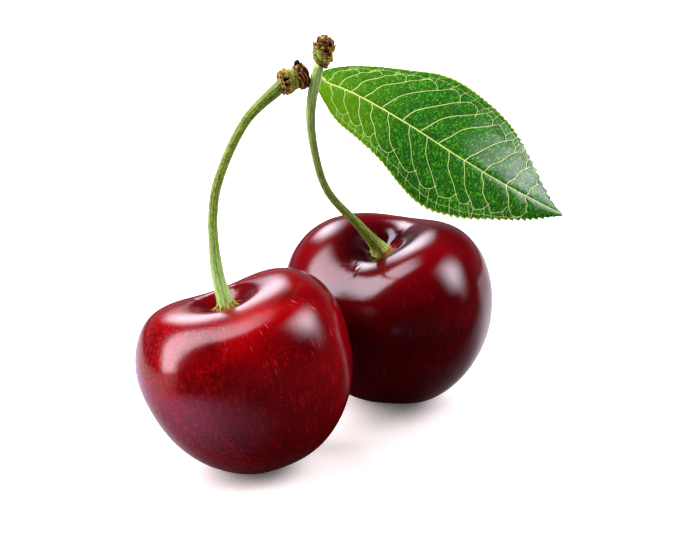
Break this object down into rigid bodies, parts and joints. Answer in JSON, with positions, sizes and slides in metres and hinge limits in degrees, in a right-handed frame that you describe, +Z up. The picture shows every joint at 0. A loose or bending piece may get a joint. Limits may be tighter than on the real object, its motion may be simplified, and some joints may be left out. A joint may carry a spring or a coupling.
{
  "type": "sweet cherries on joined stalks with a leaf",
  "caption": "Dark red sweet cherries on long green stalks that meet in woody spur ends, with a toothed green leaf, resting on the fruits.",
  "frame": {"origin": "on the surface that the fruits rest on, under the middle of the whole cluster's bounding box", "axes": "+Z up; +X towards the leaf's tip; -Y towards the side where the left cherry stands in front"},
  "size_m": [0.056, 0.0482, 0.0571],
  "materials": {
    "cherry_skin_bright": "gloss",
    "cherry_skin_dark": "gloss",
    "green_stalk": "satin",
    "spur_bark": "matte",
    "leaf_blade": "satin"
  },
  "bodies": {
    "root": {"cherry_left": "cherry_skin_bright", "cherry_right": "cherry_skin_dark", "stalk_left": "green_stalk", "stalk_right": "green_stalk", "spur_left": "spur_bark", "spur_right": "spur_bark", "leaf": "leaf_blade"}
  },
  "joints": []
}
